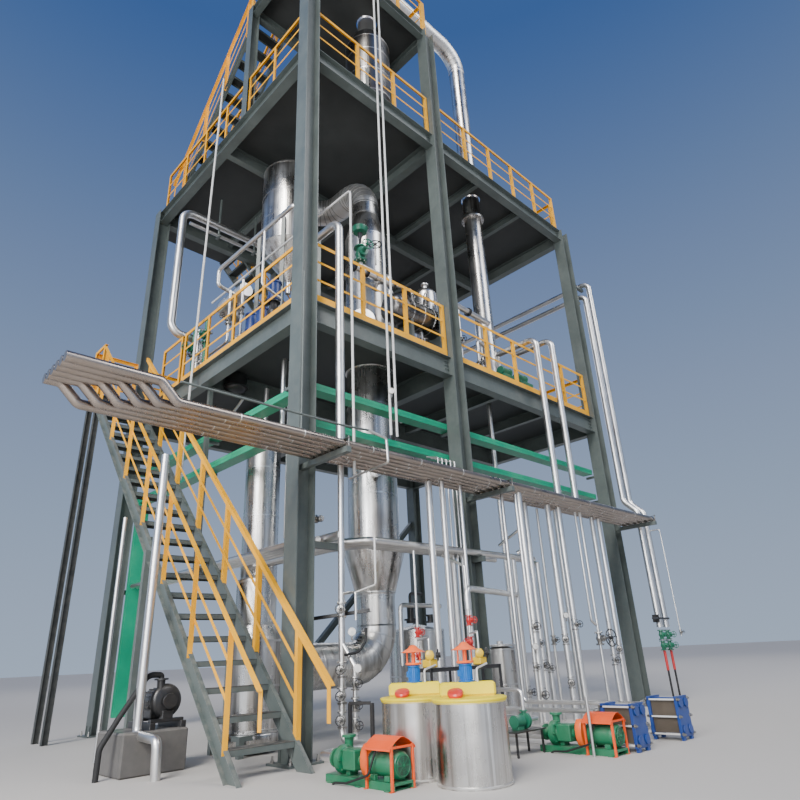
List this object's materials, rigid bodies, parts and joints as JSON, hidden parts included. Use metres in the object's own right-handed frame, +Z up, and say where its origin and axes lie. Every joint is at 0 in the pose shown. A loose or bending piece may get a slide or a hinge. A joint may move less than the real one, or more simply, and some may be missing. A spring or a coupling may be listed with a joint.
{
  "type": "distillation column plant",
  "caption": "Open steel frame with deck levels, guard rails and stairs, carrying stainless distillation columns, tanks, piping, cable trays, pumps and heat exchangers.",
  "frame": {"origin": "centre of the near corner column's foot, at the underside of its base plate", "axes": "+X along the long front face, +Y along the left face into the depth of the plant, +Z up"},
  "size_m": [13.27, 10.795, 18.1],
  "materials": {
    "frame_paint": "satin grey-green paint",
    "yellow_paint": "golden yellow paint",
    "deck_plate": "dark painted plate",
    "green_tray": "emerald green",
    "lid_yellow": "bright yellow",
    "agitator_blue": "blue and orange paint",
    "pump_green": "green painted castings",
    "hood_orange": "orange paint",
    "plate_pack": "stacked plates",
    "exchanger_blue": "blue paint",
    "rack_pipe": "clad pipe",
    "stainless": "stainless cladding"
  },
  "bodies": {
    "root": {"columns": "frame_paint", "base_plates": "frame_paint", "top_posts": "frame_paint", "beams_1": "frame_paint", "deck_1": "deck_plate", "beams_2": "frame_paint", "deck_2": "deck_plate", "beams_3": "frame_paint", "deck_3": "deck_plate", "rails_1_front": "yellow_paint", "rails_1_left": "yellow_paint", "rails_1_rear": "yellow_paint", "rails_2_front": "yellow_paint", "rails_2_left": "yellow_paint", "rails_2_rear": "yellow_paint", "rails_3": "yellow_paint", "stair_1": "frame_paint", "treads_1": "frame_paint", "stair_1_rails": "yellow_paint", "landing_1": "frame_paint", "stair_2": "frame_paint", "treads_2": "frame_paint", "stair_2_rails": "yellow_paint", "landings_2": "frame_paint", "stair_3": "frame_paint", "treads_3": "frame_paint", "stair_3_rails": "yellow_paint", "main_column": "stainless", "main_head": "stainless", "main_foot": "stainless", "vapour_duct": "stainless", "separator": "stainless", "main_lugs": "stainless", "separator_legs": "frame_paint", "condenser": "stainless", "condenser_legs": "frame_paint", "slim_column": "stainless", "top_duct": "stainless", "receiver": "stainless", "sump_tank": "stainless", "tank_stand": "frame_paint", "rear_tank": "stainless", "small_tank": "stainless", "pipe_rack": "rack_pipe", "rack_bearers": "frame_paint", "ground_header": "stainless", "pipe_arms": "frame_paint", "trays": "green_tray", "tray_arms": "frame_paint", "front_risers": "stainless", "left_risers": "stainless", "right_risers": "stainless", "downcomers": "stainless", "dosing_tanks": "stainless", "dosing_lids": "lid_yellow", "agitators": "agitator_blue", "pumps": "pump_green", "pump_hoods": "hood_orange", "exchangers": "plate_pack", "exchanger_frames": "exchanger_blue"}
  },
  "joints": []
}
